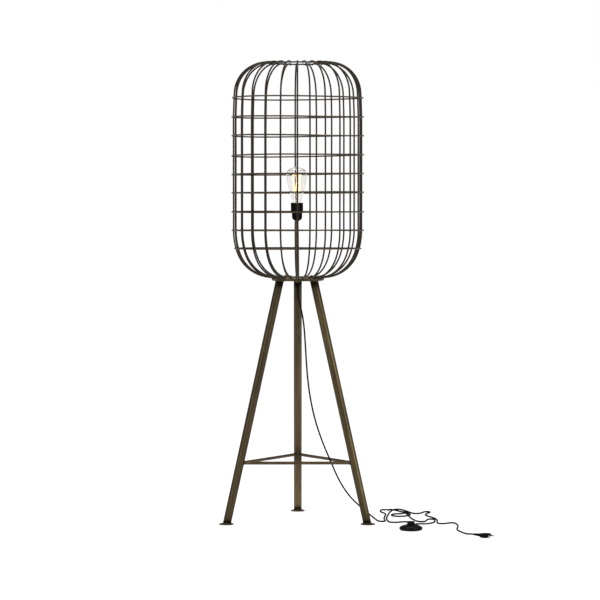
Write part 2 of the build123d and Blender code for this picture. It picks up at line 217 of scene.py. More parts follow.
def lump(turn, reach, height, sizes, seed):
    # a small melted lump at a reach from the lamp's axis; its half-sizes go outward, sideways and up
    outward = Vector((cos(turn), sin(turn), 0))
    along = Vector((-sin(turn), cos(turn), 0))
    centre = onAxis(0, 0, height) + outward * reach * mm
    deep, wide, high = (size * mm for size in sizes)
    ball = bmesh.new()
    bmesh.ops.create_icosphere(ball, subdivisions=1, radius=1)
    verts = []
    for v in ball.verts:
        grow = 1 + lumpRough * noise.noise(v.co * 2 + Vector((seed, seed * 0.7, 0)))
        verts.append(centre + (outward * (v.co.x * deep) + along * (v.co.y * wide)
                               + upward * (v.co.z * high)) * grow)
    faces = [tuple(v.index for v in f.verts) for f in ball.faces]
    ball.free()
    return verts, faces


# ways of making materials

def feed(tree, node, inputs):
    # an input is given as a value, or as another node's output to link
    for socket, value in dict(inputs).items():
        if isinstance(value, bpy.types.NodeSocket):
            tree.links.new(value, node.inputs[socket])
        else:
            node.inputs[socket].default_value = value


def addNode(tree, kind, inputs=(), **settings):
    node = tree.nodes.new("ShaderNode" + kind)
    for key, value in settings.items():
        setattr(node, key, value)
    feed(tree, node, inputs)
    return node


def newMaterial(name):
    material = bpy.data.materials.new(name)
    material.use_nodes = True
    return material, material.node_tree, material.node_tree.nodes["Principled BSDF"]


def colourRamp(tree, share, stops):
    ramp = addNode(tree, "ValToRGB", {"Fac": share})
    elements = ramp.color_ramp.elements
    elements.remove(elements[-1])
    elements[0].position = stops[0][0]
    elements[0].color = (*stops[0][1], 1)
    for place, colour in stops[1:]:
        elements.new(place).color = (*colour, 1)
    return ramp.outputs["Color"]


def mixColour(tree, inputs, blend="MIX"):
    return addNode(tree, "Mix", inputs, data_type="RGBA", blend_type=blend).outputs["Result"]


def surface(name, look):
    # a finish from a dictionary: colour stops over a noise, roughness range, bump and plain shader values
    material, tree, shader = newMaterial(name)
    place = addNode(tree, "TexCoord").outputs["Object"]
    stretch = look.get("stretch", (1, 1, 1))
    spot = addNode(tree, "Mapping", {"Vector": place, "Scale": stretch}).outputs["Vector"]
    broad = addNode(tree, "TexNoise", {"Vector": spot, "Scale": look["broad"], "Detail": 5, "Roughness": 0.6})
    colour = colourRamp(tree, broad.outputs["Fac"], look["colours"])

    if "specks" in look:  # small darker marks
        specks = look["specks"]
        marks = addNode(tree, "TexVoronoi", {"Vector": spot, "Scale": specks["scale"]})
        edge = addNode(tree, "MapRange", {
            "Value": marks.outputs["Distance"], "From Min": specks["size"], "From Max": specks["size"] * 2.2,
            "To Min": specks["amount"], "To Max": 0})
        colour = mixColour(tree, {"Factor": edge.outputs["Result"], "A": colour, "B": (*specks["colour"], 1)})

    # the along levels paint shade, partly patina, onto the tube: darker at its foot, where the braces meet it
    # and under the plate
    if "along" in look:  # darker or paler along the tube, from its foot to its top
        height = addNode(tree, "SeparateXYZ", {"Vector": place}).outputs["Z"]
        half = look["half"]
        share = addNode(tree, "MapRange", {"Value": height, "From Min": -half, "From Max": half})
        levels = [(at, (level, level, level)) for at, level in look["along"]]
        shades = colourRamp(tree, share.outputs["Result"], levels)
        colour = mixColour(tree, {"Factor": 1, "A": colour, "B": shades}, "MULTIPLY")

    fine = addNode(tree, "TexNoise", {"Vector": spot, "Scale": look["fine"], "Detail": 3}).outputs["Fac"]
    polish = addNode(tree, "MapRange", {"Value": fine, "From Min": 0.3, "From Max": 0.7,
                                        "To Min": look["roughness"][0], "To Max": look["roughness"][1]})
    relief = addNode(tree, "Bump", {"Height": fine, "Strength": look["bump"], "Distance": look["depth"]})
    feed(tree, shader, {"Base Color": colour, "Roughness": polish.outputs["Result"],
                        "Normal": relief.outputs["Normal"], **look["shader"]})
    return material


# cords: black round flex, laid as the photograph shows it

cordLook = {
    "broad": 160, "fine": 900, "colours": [(0.3, (0.003, 0.003, 0.0032)), (0.7, (0.006, 0.006, 0.0063))],
    "roughness": (0.42, 0.58), "bump": 0.25, "depth": 0.0002,
    "shader": {"Specular IOR Level": 0.0, "Coat Weight": 0.06, "Coat Roughness": 0.3},
}
cordBlack = surface("blackFlex", cordLook)
# how high the cord's middle lies, in millimetres: on the floor, over itself, into the switch, into the plug
cords = {"diameter": 0.005, "floor": 2.5, "over": 8.2, "entry": 7.0, "plug": 6.85}
overZ, entryZ, plugZ = cords["over"], cords["entry"], cords["plug"]

# right of the lamp's axis, away from the camera and, where the cord doesn't lie on the floor, up
lampRoute = [
    (0, 0, 710), (0, 0, 692), (5, 0, 669), (12.5, 0, 640), (19, -1, 600), (23, -3, 545), (26, -6, 490),
    (30.5, -9, 432), (39, -11, 370), (54, -13, 304), (76, -15, 240), (101, -17, 182), (125, -15, 126),
    (155, -10, 78), (189, -2, 44), (215, 3, 22), (231, -4, 9), (240, -20, 4), (244, -38), (248, -54),
    (257, -62), (266, -56), (268, -40), (266, -18), (266, 14), (268, 56), (272, 100), (275, 136),
    (272, 163), (264, 186), (260, 212), (261, 240), (266, 257), (277, 264), (287, 256), (289, 239),
    (287, 221, overZ), (302, 207, overZ), (323, 208), (337, 193), (345, 166), (352, 136), (349, 108),
    (337, 86), (318, 73), (301, 79), (291, 101), (293, 128), (306, 146), (322, 142, 3), (335, 118, overZ),
    (341, 81, overZ), (347, 42), (354, -4), (361, -42), (367, -60), (378, -67), (389, -60), (394, -42),
    (396, -20), (400, -4), (409, 3), (418, -5), (420, -22), (420, -50), (415, -84), (404, -110),
    (388, -124), (373, -122), (360, -125), (352, -141), (349, -160, 3), (348, -180, 6), (348, -199, entryZ),
    (348, -218, entryZ),
]
plugRoute = [
    (326, -218, entryZ), (326, -199, entryZ), (326, -180, 6), (330, -160, 3), (339, -131), (345, -99),
    (343, -80), (333, -68), (319, -71), (305, -84), (289, -87), (277, -72), (275, -42), (273, 0), (275, 48),
    (280, 98), (284, 148), (290, 196), (297, 237), (304, 262), (312, 274), (324, 272), (332, 256),
    (341, 230), (350, 196), (357, 170), (365, 153), (377, 152), (386, 166), (393, 188), (399, 202),
    (407, 208), (415, 201), (416, 187), (409, 166), (400, 140), (397, 110), (403, 82), (414, 54), (423, 22),
    (427, -12), (427, -48), (424, -82), (425, -106), (433, -119), (445, -118), (455, -106), (465, -96),
    (474, -97), (480, -111), (482, -138), (483, -174), (480, -212), (475, -250), (475, -286), (482, -322),
    (491, -360), (497, -391, 4.2), (503, -412, plugZ), (515, -423, plugZ),
]


def layCord(name, route, nodes):
    curve = bpy.data.curves.new(name, "CURVE")
    curve.dimensions = "3D"
    spline = curve.splines.new("NURBS")
    spline.points.add(len(route) - 1)
    for point, place in zip(spline.points, route):
        height = place[2] if len(place) == 3 else cords["floor"]
        point.co = (*onAxis(*place[:2], height), 1)
    spline.order_u = 3
    spline.use_endpoint_u = True
    curve.resolution_u = 6
    curve.bevel_depth = cords["diameter"] / 2
    curve.bevel_resolution = 5
    curve.use_fill_caps = True
    curve.materials.append(cordBlack)
    piece = placed(name, curve)
    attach(piece, "lamp")
    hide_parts(*nodes)
    return piece


lampCord = layCord("lampCord", lampRoute, ["lamp_cord"])
plugCord = layCord("plugCord", plugRoute, ["plug_cord"])
print("cords laid")


# cage: 24 steel wire ribs inside nine hoops of thinner wire

cage = {
    "wire": 5.2, "sides": 12, "radius": 196.8, "top": 1404.0,
    "lean": 1940.0, "leanAngle": 3.2, "shoulder": 97.0, "lowBend": 205.8, "lowAngle": 19.0, "baseBend": 113.5,
    "ribEnd": 746.8, "ribTip": 4.0, "ribFlat": 3.0, "waver": 0.25, "stray": 0.35,
    "tuck": ((13.0, 0.4), (8.0, 1.4), (4.0, 2.8), (0.5, 4.2)),  # outside the top ring, below the top
    "topRing": {"radius": 81.0, "height": 1401.8, "wire": 4.6, "weldSide": -1},
    "bottomRing": {"radius": 78.5, "height": 741.9, "wire": 5.2, "weldSide": 1},
    "ribWeld": (2.6, 3.0, 1.6),  # where a rib touches a ring
}
cageLook = {
    "broad": 26, "fine": 160, "roughness": (0.47, 0.53), "bump": 0.06, "depth": 0.0002,
    "colours": [(0.30, (0.014, 0.010, 0.0065)), (0.55, (0.026, 0.018, 0.011)), (0.78, (0.050, 0.034, 0.019))],
    "shader": {"Metallic": 0.6, "Specular IOR Level": 0.3},
}
cageMetal = surface("cageWireMetal", cageLook)

# the ribs stand where the photograph shows them, pitched by hand
rearRibs = [12.9, 27.6, 43.3, 57.5, 72.8, 92.3, 106.1, 120.4, 134.9, 150.5, 165.6]
frontRibs = [180.0, 195.4, 210.2, 225.1, 240.0, 254.8, 269.7, 280.7, 294.9, 310.1, 323.6, 339.0, 351.5]
ribAngles = rearRibs + frontRibs

leanTurn = radians(cage["leanAngle"])
lowTurn = radians(cage["lowAngle"])
baseTurn = pi / 2 - lowTurn
straightLow = cage["ribEnd"] + cage["baseBend"] * (1 - cos(baseTurn)) + cage["lowBend"] * sin(lowTurn)
shoulderLow = cage["top"] - cage["shoulder"] * (1 - sin(leanTurn))
straightHigh = shoulderLow - cage["lean"] * sin(leanTurn)


def arc(out, up, radius, start, end, steps):
    # a bend round a centre, without its first point
    turns = [start + (end - start) * step / steps for step in range(1, steps + 1)]
    return [(out + radius * cos(turn), up + radius * sin(turn)) for turn in turns]


def ribLine():
    # (out, up) in millimetres from the bottom ring, up the side and in to the top ring
    radius, end, top = cage["radius"], cage["ribEnd"], cage["top"]
    lowBend, baseBend, lean, shoulder = cage["lowBend"], cage["baseBend"], cage["lean"], cage["shoulder"]
    baseStart = radius - lowBend * (1 - cos(lowTurn)) - baseBend * sin(baseTurn)
    shoulderOut = radius - lean * (1 - cos(leanTurn)) - shoulder * cos(leanTurn)
    tip = cage["bottomRing"]["radius"] - cage["ribTip"]
    line = [(tip, end), (baseStart - cage["ribFlat"], end), (baseStart, end)]
    line += arc(baseStart, end + baseBend, baseBend, -pi / 2, baseTurn - pi / 2, 12)
    line += arc(radius - lowBend, straightLow, lowBend, -lowTurn, 0, 6)
    line += [(radius, straightLow + (straightHigh - straightLow) * step / 8) for step in range(1, 9)]
    line += arc(radius - lean, straightHigh, lean, 0, leanTurn, 4)
    line += arc(shoulderOut, top - shoulder, shoulder, leanTurn, pi / 2, 16)
    line += [(cage["topRing"]["radius"] + out, top - below) for out, below in cage["tuck"]]
    return line


ribPath = ribLine()
for number, angle in enumerate(ribAngles, 1):
    turn = radians(angle)
    points = []
    for out, up in ribPath:  # bent by hand over a former
        reach = out + waver(cage["waver"], up * 0.012, number * 3.7, 0)
        stray = waver(cage["stray"], up * 0.010, number * 5.1, 4)
        right = reach * cos(turn) - stray * sin(turn)
        away = reach * sin(turn) + stray * cos(turn)
        points.append(onAxis(right, away, up))
    newPiece(f"rib{number:02d}", [pipe(points, cage["wire"] / 2 * mm, cage["sides"])], cageMetal,
             nodes=[f"rib_{number:02d}"])

# hoops round the ribs, each bent by hand, in millimetres: front above back, twist, right side above left
hoops = {
    "wire": 4.6, "apart": 4.5, "steps": 96, "waver": 0.35,
    "heights": (1295.6, 1237.4, 1180.0, 1120.0, 1063.0, 1006.3, 947.2, 890.7, 835.2),
    "bends": ((-1.0, 2.2, 0.0), (-5.4, 2.7, 0.0), (-3.2, 3.5, 0.0), (2.3, 2.0, 1.8), (0.6, 1.6, 1.5),
              (2.6, -0.9, 0.9), (-0.4, -1.6, 0.0), (4.0, -1.2, 0.0), (3.0, -0.7, 0.0)),
    "spotWeld": (1.6, 2.5, 2.5), "buttWeld": (2.75, 2.2, 2.75), "buttAngle": 97, "buttStep": 23,
}


def hoopRadius(height):
    # the radius of a hoop that lies on the ribs' outer side at this height
    radius, apart = cage["radius"], hoops["apart"]
    if straightLow <= height <= straightHigh:
        return radius + apart
    start, bend = (straightLow, cage["lowBend"]) if height < straightLow else (straightHigh, cage["lean"])
    turn = 0.0
    for attempt in range(8):
        away = abs(height - start) - apart * sin(turn) * (1 if height > start else -1)
        turn = asin(max(0.0, away) / bend)
    return radius - bend * (1 - cos(turn)) + apart * cos(turn)


def hoopLift(bends, turn):
    tip, twist, roll = bends
    return -tip / 2 * sin(turn) + twist * sin(turn) * cos(turn) + roll * cos(turn)


hoopLook = {**cageLook, "colours": [
    (0.30, (0.030, 0.021, 0.013)), (0.55, (0.060, 0.043, 0.026)), (0.78, (0.110, 0.080, 0.048))]}
hoopMetal = surface("hoopWireMetal", hoopLook)

for number, (height, bends) in enumerate(zip(hoops["heights"], hoops["bends"]), 1):
    radius = hoopRadius(height)
    points = []
    for turn in fullTurn(hoops["steps"]):
        lift = hoopLift(bends, turn) + waver(hoops["waver"], cos(turn) * 1.5, sin(turn) * 1.5, number * 2.3)
        points.append(aroundAxis(radius, turn, height + lift))
    parts = [pipe(points, hoops["wire"] / 2 * mm, cage["sides"], closed=True)]
    for angle in ribAngles:  # spot welds where the hoop touches the ribs
        turn = radians(angle)
        touch = height + hoopLift(bends, turn)
        parts.append(lump(turn, radius - hoops["wire"] / 2, touch, hoops["spotWeld"], angle))
    joint = radians(hoops["buttAngle"] + hoops["buttStep"] * number)  # the hoop's own butt weld
    parts.append(lump(joint, radius, height + hoopLift(bends, joint), hoops["buttWeld"], number))
    newPiece(f"hoop{number}", parts, hoopMetal, nodes=[f"hoop_{number}"])
print("cage bent and welded")


# rings that the ribs end on, with a weld at each rib

bronzeLook = {
    "broad": 34, "fine": 300, "stretch": (1, 1, 0.25), "roughness": (0.38, 0.55),
    "bump": 0.35, "depth": 0.0003,
    "colours": [(0.25, (0.030, 0.021, 0.012)), (0.5, (0.070, 0.049, 0.025)), (0.75, (0.114, 0.082, 0.034))],
    "specks": {"scale": 210, "colour": (0.016, 0.011, 0.008), "size": 0.14, "amount": 0.6},
    "shader": {"Metallic": 0.85},
}
bronzeMetal = surface("brownedBronze", bronzeLook)
weldLook = {
    "broad": 120, "fine": 600, "colours": [(0.3, (0.024, 0.017, 0.011)), (0.7, (0.085, 0.060, 0.035))],
    "roughness": (0.45, 0.65), "bump": 0.5, "depth": 0.0004, "shader": {"Metallic": 0.7},
}
weldMetal = surface("weldBeads", weldLook)

for name, node, material in (("topRing", "top_ring", cageMetal), ("bottomRing", "bottom_ring", bronzeMetal)):
    ring = cage[name]
    points = [aroundAxis(ring["radius"], turn, ring["height"]) for turn in fullTurn(96)]
    parts = [pipe(points, ring["wire"] / 2 * mm, cage["sides"], closed=True)]
    touch = ring["height"] + ring["weldSide"] * ring["wire"] / 2
    parts += [lump(radians(angle), ring["radius"], touch, cage["ribWeld"], angle + 3) for angle in ribAngles]
    newPiece(name, parts, material, nodes=[node])

# the heavy bead over the ribs' lower ends
ringWeld = {"radius": 78.0, "height": 745.6, "size": 2.6, "steps": 160, "waver": 0.9, "seed": 11,
            "lump": (4.2, 4.6, 3.4), "lumpHeight": 748.3, "lumpVary": 0.18}
# the palest colour stop is a painted highlight on the bead's bumps; the darker stops are its bronze
ringWeldLookWithHighlight = {
    "broad": 95, "fine": 500, "roughness": (0.36, 0.55), "bump": 0.5, "depth": 0.0004,
    "shader": {"Metallic": 0.8},
    "colours": [(0.30, (0.022, 0.015, 0.009)), (0.48, (0.085, 0.060, 0.034)), (0.66, (0.320, 0.255, 0.175))],
}
loop = []
for turn in fullTurn(ringWeld["steps"]):
    height = ringWeld["height"] + waver(ringWeld["waver"], cos(turn) * 7, sin(turn) * 7, 5)
    loop.append(aroundAxis(ringWeld["radius"], turn, height))
parts = [bead(loop, ringWeld["size"] * mm, ringWeld["seed"])]
for angle in ribAngles:
    vary = 1 + ringWeld["lumpVary"] * sin(angle * 3.3)
    sizes = [size * vary for size in ringWeld["lump"]]
    parts.append(lump(radians(angle), ringWeld["radius"], ringWeld["lumpHeight"], sizes, angle))
# the bead's finish carries a painted highlight over its bronze
newPiece("ringWeldBead", parts, surface("ringWeldBronzeWithHighlight", ringWeldLookWithHighlight))
print("rings welded")


# plate under the cage

plate = {"radius": 79.8, "low": 736.4, "high": 739.4, "hole": 5.1, "edge": 0.5, "under": 4.2}
rim, low, high = plate["radius"], plate["low"], plate["high"]
plateLine = [
    (plate["hole"], low), (rim - plate["under"], low), (rim - plate["under"] * 0.5, low + 0.35),
    (rim - 0.5, low + 1.3), (rim, high - 1.3), (rim, high - plate["edge"]), (rim - 0.15, high - 0.15),
    (rim - plate["edge"], high), (plate["hole"], high), (plate["hole"], low),
]
newPiece("mountingPlate", [spun(plateLine, 96)], bronzeMetal, nodes=["mounting_plate"])

# legs: 25 mm tube, cut level at both ends and welded to the plate and the feet;
# the front two stand a few millimetres to the left, as welded by hand

legs = {"radius": 12.5, "top": 736.4, "topAt": 61.0, "footAt": 244.0, "foot": 3.5, "weld": 1.5, "weldIn": 0.7,
        "weldGrow": 1.03, "weldSteps": 44, "sides": 40, "rings": 24, "dent": 0.006}
# each leg's colours are one bronze painted lighter or darker for how the lamps fall on it (painted light and
# shade); its along levels are painted shade, partly patina, at its ends and where the braces meet it
legSides = {
    "rear": {
        "angle": 90.0, "strayFoot": 0.0, "strayTop": 0.0,
        "colours": [
            (0.25, (0.065, 0.045, 0.025)), (0.5, (0.120, 0.083, 0.044)), (0.75, (0.180, 0.125, 0.064))],
        "along": [
            (0.0, 0.6), (0.04, 1.0), (0.19, 1.0), (0.235, 0.45), (0.3, 0.8), (0.88, 0.62), (0.96, 0.32)],
    },
    "left": {
        "angle": 210.0, "strayFoot": -3.6, "strayTop": -2.4,
        "colours": [
            (0.25, (0.033, 0.023, 0.012)), (0.5, (0.062, 0.044, 0.021)), (0.75, (0.086, 0.062, 0.026))],
        "along": [(0.0, 0.5), (0.045, 0.85), (0.88, 0.85), (0.97, 0.5)],
    },
    "right": {
        "angle": 330.0, "strayFoot": -0.6, "strayTop": -3.2,
        "colours": [
            (0.25, (0.036, 0.025, 0.012)), (0.5, (0.076, 0.055, 0.024)), (0.75, (0.124, 0.094, 0.043))],
        "along": [(0.0, 0.55), (0.06, 0.9), (0.86, 0.95), (0.97, 0.6)],
    },
}
legLook = {
    "broad": 30, "fine": 260, "stretch": (1.6, 1.6, 0.16), "half": 0.378,
    "specks": {"scale": 120, "colour": (0.018, 0.012, 0.008), "size": 0.10, "amount": 0.55},
    "roughness": (0.36, 0.52), "bump": 0.25, "depth": 0.0003, "shader": {"Metallic": 0.85},
}


def legEnds(side):
    leg = legSides[side]
    turn = radians(leg["angle"])
    foot = onAxis(legs["footAt"] * cos(turn) + leg["strayFoot"], legs["footAt"] * sin(turn), legs["foot"])
    top = onAxis(legs["topAt"] * cos(turn) + leg["strayTop"], legs["topAt"] * sin(turn), legs["top"])
    return foot, top


def legPoint(foot, top, share, turn, grow):
    # a point on the tube's skin; each ring is level, so that both ends meet flat
    way = (top - foot).normalized()
    side = way.cross(upward).normalized()
    other = side.cross(way)
    reach = side * (cos(turn) * legs["radius"] * grow * mm) + other * (sin(turn) * legs["radius"] * grow * mm)
    centre = foot + (top - foot) * share
    return centre + reach - way * (reach.z / way.z)


def makeLeg(side):
    foot, top = legEnds(side)
    angle, rings, sides = legSides[side]["angle"], legs["rings"], legs["sides"]
    verts = []
    for ring in range(rings + 1):
        share = ring / rings
        for turn in fullTurn(sides):
            dent = waver(legs["dent"], cos(turn), sin(turn), share * 14 + angle)
            verts.append(legPoint(foot, top, share, turn, 1 + dent if 0 < ring < rings else 1))
    name = f"leg{side.capitalize()}"
    # the leg's own copy of the bronze, with its painted light and shade
    finish = surface(f"bronzeLegPaintedLightAndShade{side.capitalize()}", {**legLook, **legSides[side]})
    leg = newPiece(name, [(verts, skin(rings + 1, sides, ends=True))], finish,
                   nodes=[f"leg_{side}"])
    turned = (top - foot).normalized().to_track_quat("Z", "Y").to_matrix().to_4x4()
    place = Matrix.Translation((foot + top) / 2) @ turned  # the finish runs along the tube's own axis
    leg.data.transform(place.inverted())
    leg.matrix_world = place
    beads = []
    for share, rise in ((1.0, -legs["weldIn"]), (0.0, legs["weldIn"])):
        loop = [legPoint(foot, top, share, turn, legs["weldGrow"]) + Vector((0, 0, rise * mm))
                for turn in fullTurn(legs["weldSteps"])]
        beads.append(bead(loop, legs["weld"] * mm, angle + share))
    newPiece(f"{name}Welds", beads, weldMetal)


for side in legSides:
    makeLeg(side)

# feet: flat discs with softened edges

feet = {"radius": 22.0, "thick": 3.5, "at": 246.0, "middle": 0.4}
rim, thick = feet["radius"], feet["thick"]
footLine = [(feet["middle"], 0), (rim - 0.8, 0), (rim - 0.25, 0.25), (rim, 0.8), (rim, thick - 0.9),
            (rim - 0.3, thick - 0.3), (rim - 0.9, thick), (feet["middle"], thick)]
for side, leg in legSides.items():
    turn = radians(leg["angle"])
    centre = onAxis(feet["at"] * cos(turn) + leg["strayFoot"], feet["at"] * sin(turn), 0)
    newPiece(f"foot{side.capitalize()}", [spun(footLine, 64, centre)], bronzeMetal,
             nodes=["feet"] if side == "rear" else [])

# braces: rods welded between the legs

braces = {"radius": 4.8, "height": 185.0, "sunk": 3.5, "waver": 0.0004, "weld": 1.5, "weldSeed": 29.0213859}
braceLook = {**bronzeLook, "stretch": (1, 1, 1), "colours": [
    (0.25, (0.045, 0.031, 0.017)), (0.5, (0.088, 0.060, 0.032)), (0.75, (0.135, 0.095, 0.050))]}
braceMetal = surface("brownedRod", braceLook)


def braceWeld(foot, top, centre, toward):
    # a bead where the rod meets the leg's tube
    legWay = (top - foot).normalized()
    up = (upward - toward * toward.z).normalized()
    across = toward.cross(up)
    run = toward - legWay * toward.dot(legWay)
    loop = []
    for turn in fullTurn(24):
        off = up * (cos(turn) * braces["radius"] * mm) + across * (sin(turn) * braces["radius"] * mm)
        lever = centre + off - foot
        flat = lever - legWay * lever.dot(legWay)
        # how far along the rod this line of its skin leaves the tube
        qa, qb, qc = run.dot(run), 2 * flat.dot(run), flat.dot(flat) - (legs["radius"] * mm) ** 2
        root = (-qb + max(qb * qb - 4 * qa * qc, 0) ** 0.5) / (2 * qa)
        loop.append(centre + off + toward * root)
    return bead(loop, braces["weld"] * mm, braces["weldSeed"])


share = (braces["height"] - legs["foot"]) / (legs["top"] - legs["foot"])
for name, start, end in (("Front", "left", "right"), ("Left", "rear", "left"), ("Right", "right", "rear")):
    startLeg, endLeg = legEnds(start), legEnds(end)
    a, b = (foot + (top - foot) * share for foot, top in (startLeg, endLeg))
    way = (b - a).normalized()
    inset = (legs["radius"] - braces["sunk"]) * mm
    points = [a + way * inset + (b - a - way * 2 * inset) * (k / 14) for k in range(15)]
    points = [p + Vector((0, 0, waver(braces["waver"], *(p * 9)))) for p in points]
    rod = pipe(points, braces["radius"] * mm, 20, domes=False)
    newPiece(f"brace{name}", [rod], braceMetal, nodes=[f"brace_{name.lower()}"])
    beads = [braceWeld(*startLeg, a, way), braceWeld(*endLeg, b, -way)]
    newPiece(f"brace{name}Welds", beads, weldMetal)
print("legs, feet and braces welded")


# stem: 10 mm tube, threaded where its three hexagon nuts sit

stem = {"radius": 5.0, "bore": 3.5, "low": 730.0, "high": 931.0, "plainStep": 9,
        "pitch": 1.2, "threadDepth": 0.45, "threads": ((730.0, 748.0), (910.0, 931.0))}
stemLook = {**bronzeLook, "stretch": (1.5, 1.5, 0.2), "colours": [
    (0.25, (0.055, 0.039, 0.022)), (0.5, (0.105, 0.076, 0.042)), (0.75, (0.150, 0.110, 0.060))]}
stemMetal = surface("stemTube", stemLook)
stemLine = [(stem["bore"], stem["low"])]
height = stem["low"]
while height < stem["high"]:
    if any(low <= height < high for low, high in stem["threads"]):
        groove = stem["radius"] - stem["threadDepth"]
        stemLine += [(groove, height), (stem["radius"], height + stem["pitch"] / 2)]
        height += stem["pitch"]
    else:
        stemLine += [(stem["radius"], height)]
        height += stem["plainStep"]
stemLine += [(stem["radius"] - 0.3, stem["high"]), (stem["bore"], stem["high"]), (stem["bore"], stem["low"])]
newPiece("stemTube", [spun(stemLine, 28)], stemMetal, nodes=["stem_tube"])

nuts = {"flats": 14.0, "thick": 4.0, "bore": 5.0, "places": (732.4, 739.4, 918.0)}
corner = nuts["flats"] / 2 / cos(pi / 6)
nutHalf = [(nuts["bore"], 0), (6.7, 0), (corner - 0.55, 0.25), (corner + 0.2, 0.8)]


def hexagon(radius, height, turn):
    flat = nuts["flats"] / 2 / cos((turn + pi / 6) % (pi / 3) - pi / 6)
    return min(flat, radius)


parts = []
for low in nuts["places"]:
    nutLine = [(radius, low + up) for radius, up in nutHalf]
    nutLine += [(radius, low + nuts["thick"] - up) for radius, up in reversed(nutHalf)]
    parts.append(spun(nutLine + nutLine[:1], 48, shape=hexagon))
newPiece("stemNuts", parts, stemMetal, nodes=["stem_nuts"], smooth=False)
print("stem and nuts made")


# lamp holder: black moulded cap and shell round a ceramic insert

holderLook = {
    "broad": 70, "fine": 500, "colours": [(0.3, (0.0020, 0.0019, 0.0018)), (0.7, (0.0042, 0.0039, 0.0037))],
    "roughness": (0.30, 0.42), "bump": 0.15, "depth": 0.0002,
    "shader": {"Specular IOR Level": 0.0, "Coat Weight": 0.07, "Coat Roughness": 0.2},
}
insertLook = {
    "broad": 60, "fine": 700, "colours": [(0.3, (0.62, 0.60, 0.55)), (0.7, (0.74, 0.72, 0.67))],
    "roughness": (0.25, 0.4), "bump": 0.1, "depth": 0.0002, "shader": {"Specular IOR Level": 0.5},
}
holder = {
    "fluteLow": 930.0, "fluteHigh": 941.0, "flutes": 30, "fluteDepth": 0.28,
    "cap": [(5.2, 921.4), (8.4, 921.6), (10.8, 922.4), (12.9, 924.0), (14.5, 926.6), (15.5, 930.0),
            (15.9, 933.2), (16.0, 934.4), (16.0, 936.0), (16.0, 940.4), (16.0, 941.2), (16.0, 943.0),
            (15.6, 943.6), (13.1, 943.9), (13.1, 930.0), (11.0, 925.5), (5.2, 924.5), (5.2, 921.4)],
    "shell": [(13.2, 944.0), (17.7, 944.0), (18.6, 944.5), (18.9, 945.4), (18.9, 951.0), (18.6, 951.5),
              (18.6, 952.3), (18.9, 952.8), (18.9, 969.0), (18.5, 969.4), (18.5, 970.2), (18.9, 970.6),
              (18.9, 973.4), (18.5, 974.5), (17.2, 975.0), (15.9, 974.8), (15.2, 974.0), (15.2, 946.0),
              (13.2, 945.9), (13.2, 944.0)],
    "insert": [(7.0, 945.0), (7.0, 936.6), (7.4, 936.0), (12.2, 936.0), (12.6, 936.4), (12.6, 946.0),
               (13.9, 946.3), (14.2, 946.7), (14.2, 968.3), (13.9, 968.9), (13.7, 969.0), (13.5, 968.6),
               (13.5, 947.2), (12.7, 947.0), (7.4, 947.0), (7.0, 946.6), (7.0, 945.0)],
}


def fluted(radius, height, turn):
    if holder["fluteLow"] < height < holder["fluteHigh"]:
        return radius - holder["fluteDepth"] * (0.5 + 0.5 * cos(holder["flutes"] * turn))
    return radius


bakelite = surface("blackMoulding", holderLook)
ceramicWhite = surface("holderCeramic", insertLook)
newPiece("holderCap", [spun(holder["cap"], 120, shape=fluted)], bakelite, nodes=["holder_cap"])
newPiece("holderShell", [spun(holder["shell"], 72)], bakelite, nodes=["holder_shell"])
newPiece("holderInsert", [spun(holder["insert"], 56)], ceramicWhite, nodes=["holder_insert"])

# bulb: lit, clear glass over a cage of glowing strands, brass cap

bulb = {
    "glass": [(12.3, 958.0), (12.5, 966.0), (12.9, 974.0), (14.3, 982.0), (16.9, 991.0), (21.6, 1008.0),
              (27.2, 1030.0), (30.6, 1046.0), (31.9, 1056.0), (31.9, 1061.0), (29.9, 1069.2), (26.2, 1075.0),
              (20.8, 1079.4), (14.5, 1082.0), (8.6, 1083.3), (4.4, 1084.0), (2.6, 1084.5), (1.5, 1085.2),
              (0.5, 1085.6)],
    "wall": 0.9, "crown": 1074.0, "tip": 1.2, "thinnest": 0.2,
    "capRadius": 12.9, "capLow": 953.0, "capStep": 0.45, "capSteps": 40,
    "mount": [(8.9, 954.4), (8.7, 958.0), (6.2, 964.0), (4.0, 972.0), (3.2, 982.0), (3.1, 998.0),
              (2.6, 1004.0), (1.4, 1007.5), (1.1, 1012.0), (1.1, 1030.0), (1.1, 1050.0), (1.3, 1060.5),
              (0.6, 1062.0)],
}
glassMaterial, glassTree, glassShader = newMaterial("bulbGlass")
glassPlace = addNode(glassTree, "TexCoord").outputs["Object"]
glassWaves = addNode(glassTree, "TexNoise", {"Vector": glassPlace, "Scale": 22}).outputs["Fac"]
glassRelief = addNode(glassTree, "Bump", {"Height": glassWaves, "Strength": 0.06, "Distance": 0.001})
feed(glassTree, glassShader, {
    "Base Color": (0.915, 0.898, 0.880, 1), "Roughness": 0.02, "IOR": 1.45, "Transmission Weight": 1.0,
    "Specular IOR Level": 0.5, "Normal": glassRelief.outputs["Normal"]})

glassOut = softCurve(bulb["glass"], 3)
glassIn = []
for radius, height in glassOut:
    if radius > bulb["tip"]:
        drop = bulb["wall"] if height > bulb["crown"] else 0
        glassIn.append((max(radius - bulb["wall"], bulb["thinnest"]), height - drop))
glassLine = glassOut + glassIn[::-1] + [glassOut[0]]
newPiece("bulbGlass", [spun(glassLine, 64)], glassMaterial, body="bulb", nodes=["bulb_glass"])

brassLook = {
    "broad": 90, "fine": 500, "colours": [(0.3, (0.42, 0.31, 0.14)), (0.7, (0.60, 0.46, 0.22))],
    "roughness": (0.22, 0.38), "bump": 0.2, "depth": 0.0002, "shader": {"Metallic": 1.0},
}
brass = surface("capBrass", brassLook)
